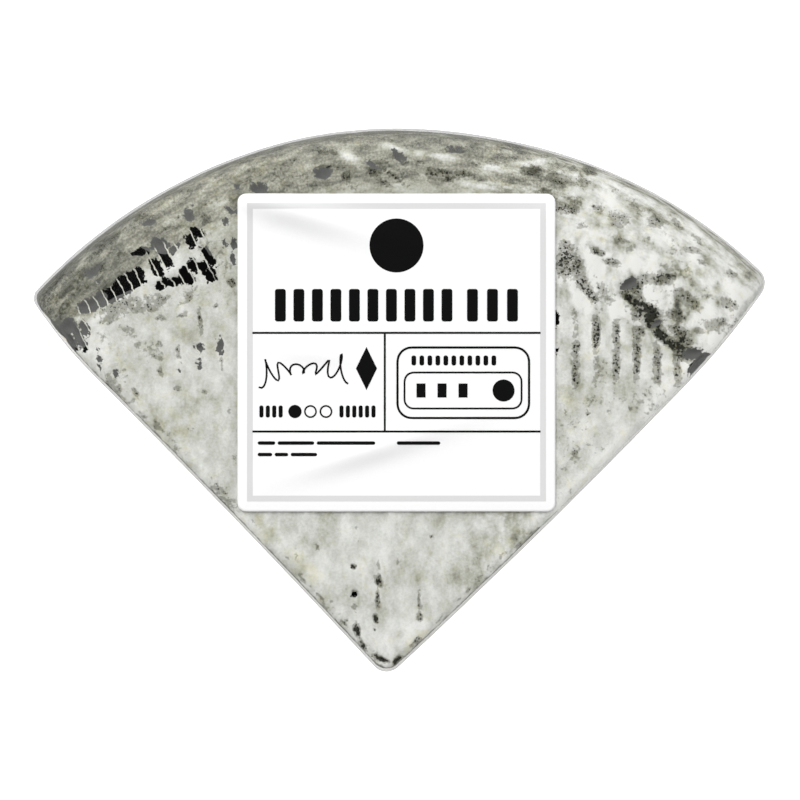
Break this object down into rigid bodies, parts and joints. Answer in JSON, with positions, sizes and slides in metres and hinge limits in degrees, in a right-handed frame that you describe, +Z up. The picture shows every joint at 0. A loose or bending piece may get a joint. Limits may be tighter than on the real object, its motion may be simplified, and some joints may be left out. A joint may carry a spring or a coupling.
{
  "type": "blue cheese wedge",
  "caption": "Quarter wedge of a small soft blue cheese with an ash-grey rind, wrapped in clear film, with a square paper label on top.",
  "frame": {"origin": "under the middle of the wedge, on the surface that it rests on", "axes": "+Z up, +Y towards the wheel's rounded rim, the point of the wedge towards -Y, +X to the right as the label is read"},
  "size_m": [0.0948, 0.0705, 0.0411],
  "materials": {
    "ash_rind": "mottled grey and white mould rind with ivory blue-veined paste on the cut faces, under clear film",
    "label_paper": "smooth white paper printed in black and light grey",
    "clear_film": "thin clear cling film, tight over the wedge"
  },
  "bodies": {
    "root": {"cheese_wedge": "ash_rind", "paper_label": "label_paper"}
  },
  "joints": []
}
